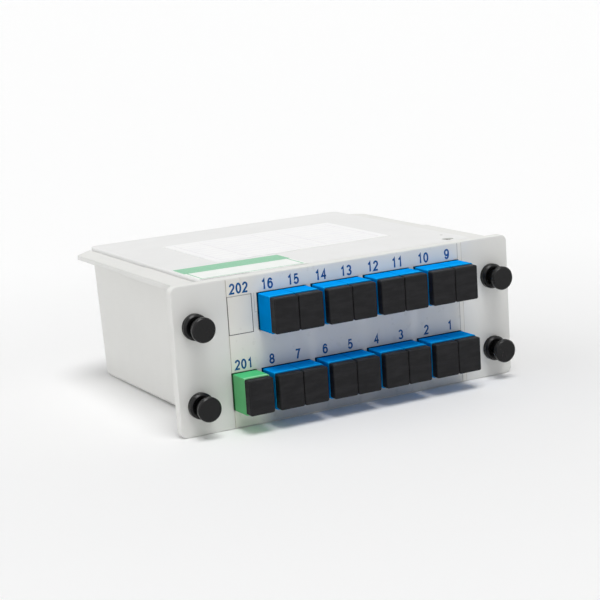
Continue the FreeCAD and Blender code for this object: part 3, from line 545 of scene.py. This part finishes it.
def add_blank_window():
    """The dark line round the blanked second input, lying in its groove, and a cutting mark beside it."""
    low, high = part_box("input_dust_cap")
    x = (low.x + high.x) / 2
    low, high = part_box("dust_cap_16")
    z = (low.z + high.z) / 2
    wide, tall, line = BLANK[0] / 2, BLANK[1] / 2, BLANK_LINE
    left = max(x - wide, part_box("face_label")[0].x)
    front, back = FACE_Y + BLANK_DEEP - INK_THICK, FACE_Y + BLANK_DEEP
    boxes = [
        ((left, front, z - tall), (x - wide + line, back, z + tall)),
        ((x + wide - line, front, z - tall), (x + wide, back, z + tall)),
        ((x - wide + line, front, z - tall), (x + wide - line, back, z - tall + line))]
    add_piece("blank_window_line", boxes_mesh("blank_window_line", boxes), "line_ink_and_painted_shadow")
    top = [((x - wide + line, front, z + tall - line), (x + wide - line, back, z + tall))]
    add_piece("blank_window_top", boxes_mesh("blank_window_top", top), "pale_line")
    side = x + wide + MARK_GAP
    marks = [
        ((side, FACE_Y - INK_THICK, z), (side + MARK_LINE, FACE_Y, z + tall)),
        ((side + MARK_LINE, FACE_Y - INK_THICK, z), (side + MARK_DASH, FACE_Y, z + MARK_LINE))]
    add_piece("blank_window_mark", boxes_mesh("blank_window_mark", marks), "pale_line")


LID_INK = 0.004 * MM
SEAL_SIZE = (39.2 * MM, 22.6 * MM)
SEAL_TURN = math.radians(-1.2)
SEAL_HEADER = 9.8 * MM
SEAL_BORDER = 0.5 * MM
SEAL_MARGIN = 0.8 * MM
# Width of the painted shadow under the seal's front edge.
SEAL_SHADOW = 0.25 * MM
TABLE_ROWS = 9
TABLE_COLUMNS = (0.0, 0.16, 0.5, 0.66, 1.0)
TABLE_MARGIN = 3.0 * MM
TABLE_LINE = 0.25 * MM


def flat_strip(left, front, right, back, top):
    """A film of ink on the cover's labels, between two corners."""
    return (left, front, top - LID_INK), (right, back, top + LID_INK / 2)


def on_seal(mesh):
    """Moves a mesh drawn about the seal's middle to where the seal lies, a little askew."""
    low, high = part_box("seal_label")
    middle = (low + high) / 2
    mesh.transform(Matrix.Translation((middle.x, middle.y, 0)) @ Matrix.Rotation(SEAL_TURN, 4, "Z"))
    return mesh


def add_seal_print():
    """The seal's green head, the frame below it and a dark strip of painted shadow under its lifting edge.
    """
    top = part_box("seal_label")[1].z
    half, deep = SEAL_SIZE[0] / 2, SEAL_SIZE[1] / 2
    side, foot, head = half - SEAL_MARGIN, SEAL_MARGIN - deep, deep - SEAL_HEADER
    strips = [
        flat_strip(-half, head, half, deep, top),
        flat_strip(-side, foot, side, foot + SEAL_BORDER, top),
        flat_strip(-side, foot + SEAL_BORDER, SEAL_BORDER - side, head, top),
        flat_strip(side - SEAL_BORDER, foot + SEAL_BORDER, side, head, top)]
    add_piece("seal_print", on_seal(boxes_mesh("seal_print", strips)), "seal_green")
    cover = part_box("top_cover")[1].z
    # Painted shadow: a dark strip on the cover under the left half of the seal's front edge.
    edge_shadow = [flat_strip(-half, -deep - SEAL_SHADOW, -0.1 * half, -deep, cover)]
    add_piece("seal_edge_shadow", on_seal(boxes_mesh("seal_edge_shadow", edge_shadow)), "line_ink_and_painted_shadow")


def add_table_print():
    """A faint empty table on the cover's label."""
    low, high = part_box("table_label")
    left, right = low.x + TABLE_MARGIN, high.x - TABLE_MARGIN
    front, back = low.y + TABLE_MARGIN, high.y - TABLE_MARGIN
    half = TABLE_LINE / 2
    strips = []
    for row in range(TABLE_ROWS + 1):
        y = front + (back - front) * row / TABLE_ROWS
        strips.append(flat_strip(left - half, y - half, right + half, y + half, high.z))
    for share in TABLE_COLUMNS:
        x = left + (right - left) * share
        for row in range(TABLE_ROWS):
            start = front + (back - front) * row / TABLE_ROWS + half
            end = front + (back - front) * (row + 1) / TABLE_ROWS - half
            strips.append(flat_strip(x - half, start, x + half, end, high.z))
    add_piece("table_print", boxes_mesh("table_print", strips), "faint_ink")


SCREW_X = 45.7 * MM
SCREW_Y = 4.9 * MM
CROSS_LONG = 2.0 * MM
CROSS_WIDE = 0.5 * MM
CROSS_DEEP = 0.1 * MM
CROSS_PROUD = 0.01 * MM


def add_screw_crosses():
    """The cross recess in each screw's head, as a dark inlay of painted shade."""
    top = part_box("cover_screws")[1].z
    boxes = []
    for x in (-SCREW_X, SCREW_X):
        for long, wide in ((CROSS_LONG, CROSS_WIDE), (CROSS_WIDE, CROSS_LONG)):
            low = (x - long / 2, SCREW_Y - wide / 2, top - CROSS_DEEP)
            high = (x + long / 2, SCREW_Y + wide / 2, top + CROSS_PROUD)
            boxes.append((low, high))
    add_piece("screw_crosses", boxes_mesh("screw_crosses", boxes), "recess")


# ---- floor, light and camera --------------------------------------------------------------

PLATE_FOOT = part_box("housing_tray")[0].z
BACK_FOOT = (93.8 * MM, 0.9 * MM)
FLOOR_SIZE = 30.0
FLOOR_WHITE = 0.915
FAR_WHITE = 0.975
FAR_GLOW = 0.04
NEAR, FAR = 0.08, 0.32


def floor_material():
    """Matt white paper, whiter far from the part, with a faint glow there that only the camera sees."""
    recipe = Recipe("floor_paper")
    recipe.settings(Specular_IOR_Level=0.1, Emission_Color=(1, 1, 1, 1))
    distance = recipe.vectors("LENGTH", recipe.place)
    tone = recipe.mix(recipe.spread(distance, NEAR, FAR), (FLOOR_WHITE,) * 3, (FAR_WHITE,) * 3)
    seen = recipe.tree.nodes.new("ShaderNodeLightPath").outputs["Is Camera Ray"]
    glow = recipe.math("MULTIPLY", seen, recipe.spread(distance, NEAR, FAR, 0.0, FAR_GLOW))
    recipe.link(glow, recipe.shader.inputs["Emission Strength"])
    return recipe.finish(tone, recipe.spread(recipe.noise(0.05), 0.0, 1.0, 0.75, 0.85))


def make_floor():
    """A floor under the front plate's lower edge and the tray's back edge, both of which rest on it."""
    slope = math.atan2(BACK_FOOT[1], BACK_FOOT[0])
    bpy.ops.mesh.primitive_plane_add(size=FLOOR_SIZE, location=(0, 0, PLATE_FOOT), rotation=(slope, 0, 0))
    floor = bpy.context.object
    floor.name = "floor"
    floor.data.materials.append(floor_material())


def make_sun(name, strength, angle, direction):
    """A soft distant lamp that shines along a direction."""
    light = bpy.data.lights.new(name, "SUN")
    light.energy = strength
    light.angle = math.radians(angle)
    lamp = bpy.data.objects.new(name, light)
    lamp.rotation_mode = "QUATERNION"
    lamp.rotation_quaternion = Vector(direction).to_track_quat("-Z", "Y")
    bpy.context.scene.collection.objects.link(lamp)


SUNS = (
    ("overhead", 1.85, 30, (0.05, 0.3, -1)),
    ("front", 0.3, 70, (-0.35, 0.9, -0.3)),
    ("front_left", 0.32, 70, (0.75, 0.6, -0.45)),
    ("back_left", 0.82, 70, (0.8, -0.35, -0.45)),
    ("back_right", 0.14, 70, (-0.8, -0.35, -0.45)),
)
WORLD_LIGHT = 0.18
BACKDROP_WHITE = 0.95


def make_world():
    """Even light from all round, seen as white by the camera and in reflections."""
    world = bpy.data.worlds.new("studio")
    bpy.context.scene.world = world
    world.use_nodes = True
    tree = world.node_tree
    paths = tree.nodes.new("ShaderNodeLightPath")
    seen = tree.nodes.new("ShaderNodeMath")
    seen.operation = "MAXIMUM"
    tree.links.new(paths.outputs["Is Camera Ray"], seen.inputs[0])
    tree.links.new(paths.outputs["Is Glossy Ray"], seen.inputs[1])
    strength = tree.nodes.new("ShaderNodeMapRange")
    strength.inputs["To Min"].default_value = WORLD_LIGHT
    strength.inputs["To Max"].default_value = BACKDROP_WHITE
    tree.links.new(seen.outputs["Value"], strength.inputs["Value"])
    tree.links.new(strength.outputs["Result"], tree.nodes["Background"].inputs["Strength"])
    tree.nodes["Background"].inputs["Color"].default_value = (1, 1, 1, 1)


CAMERA_PLACE = (-269.0 * MM, -473.5 * MM, PLATE_FOOT + 145.7 * MM)
CAMERA_YAW, CAMERA_PITCH, CAMERA_ROLL = (math.radians(angle) for angle in (28.01, 11.32, 3.71))
LENS, SENSOR = 98.8, 36.0


def make_camera():
    """The camera in front, to the left and a little above, slightly rolled."""
    heading = Vector((math.sin(CAMERA_YAW), math.cos(CAMERA_YAW), 0)) * math.cos(CAMERA_PITCH)
    heading.z = -math.sin(CAMERA_PITCH)
    level = Vector((math.cos(CAMERA_YAW), -math.sin(CAMERA_YAW), 0))
    down = heading.cross(level)
    right = math.cos(CAMERA_ROLL) * level + math.sin(CAMERA_ROLL) * down
    up = math.sin(CAMERA_ROLL) * level - math.cos(CAMERA_ROLL) * down
    lens = bpy.data.cameras.new("camera")
    lens.lens = LENS
    lens.sensor_width = SENSOR
    lens.clip_start = 0.01
    camera = bpy.data.objects.new("camera", lens)
    turn = Matrix((right, up, -heading)).transposed().to_4x4()
    camera.matrix_world = Matrix.Translation(CAMERA_PLACE) @ turn
    bpy.context.scene.collection.objects.link(camera)
    bpy.context.scene.camera = camera


dress_nodes()
add_numbers()
add_blank_window()
add_seal_print()
add_table_print()
add_screw_crosses()
make_floor()
for lamp in SUNS:
    make_sun(*lamp)
make_world()
make_camera()
bpy.context.scene.view_settings.view_transform = "Standard"
